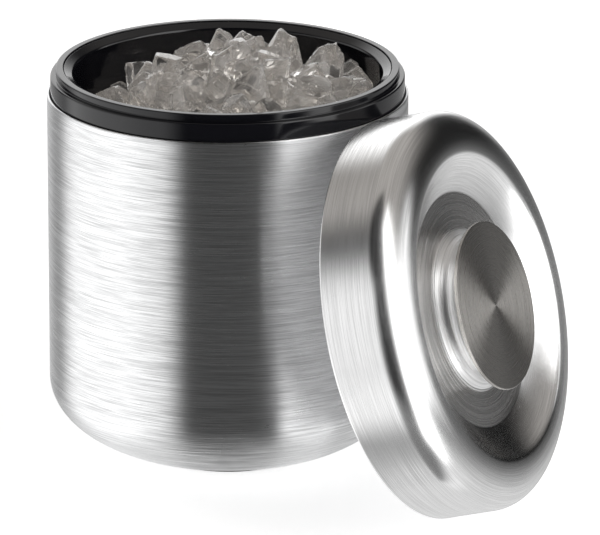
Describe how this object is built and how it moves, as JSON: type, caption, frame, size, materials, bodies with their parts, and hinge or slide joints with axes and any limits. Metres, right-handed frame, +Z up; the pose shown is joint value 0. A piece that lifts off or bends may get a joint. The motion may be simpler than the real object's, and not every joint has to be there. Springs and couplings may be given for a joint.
{
  "type": "ice bucket",
  "caption": "Double-wall ice bucket: round metal shell with a rounded base, black collar and lift-out container, and a loose domed lid with a dished top and a disc knob.",
  "frame": {"origin": "middle of the base pad's underside, on the table", "axes": "+Z up along the bucket's axis; the lid leans against the side towards +X and -Y, and -Y faces the viewer"},
  "size_m": [0.231, 0.243, 0.1785],
  "materials": {
    "brushed_aluminium": "satin",
    "polished_aluminium": "polished",
    "turned_aluminium": "satin",
    "brushed_steel": "satin",
    "plated_steel": "polished",
    "black_gloss_plastic": "gloss",
    "grey_matte_plastic": "satin",
    "rubber": "matte",
    "foam": "matte"
  },
  "bodies": {
    "bucket": {"outer_shell": "brushed_aluminium", "base_pad": "rubber", "rim_collar": "black_gloss_plastic", "collar_seal": "rubber", "insulation_sleeve": "foam", "insulation_base": "foam"},
    "container": {"inner_container": "black_gloss_plastic"},
    "lid": {"lid_shell": "brushed_aluminium", "lid_liner": "grey_matte_plastic", "lid_gasket": "rubber", "lid_insulation": "foam", "neck_seat_ring": "polished_aluminium", "knob_neck": "polished_aluminium", "knob_disc": "brushed_steel", "knob_core": "turned_aluminium", "knob_spacer": "turned_aluminium", "knob_washer": "plated_steel", "knob_screw": "plated_steel", "screw_cover": "grey_matte_plastic"}
  },
  "joints": [
    {"name": "container_lift", "type": "slide", "parent": "bucket", "child": "container", "axis": [0, 0, 1], "range_m": [0, 0.18]},
    {"name": "lid_lift", "type": "slide", "parent": "bucket", "child": "lid", "axis": [0.8773, -0.3869, 0.284], "range_m": [0, 0.16]}
  ]
}
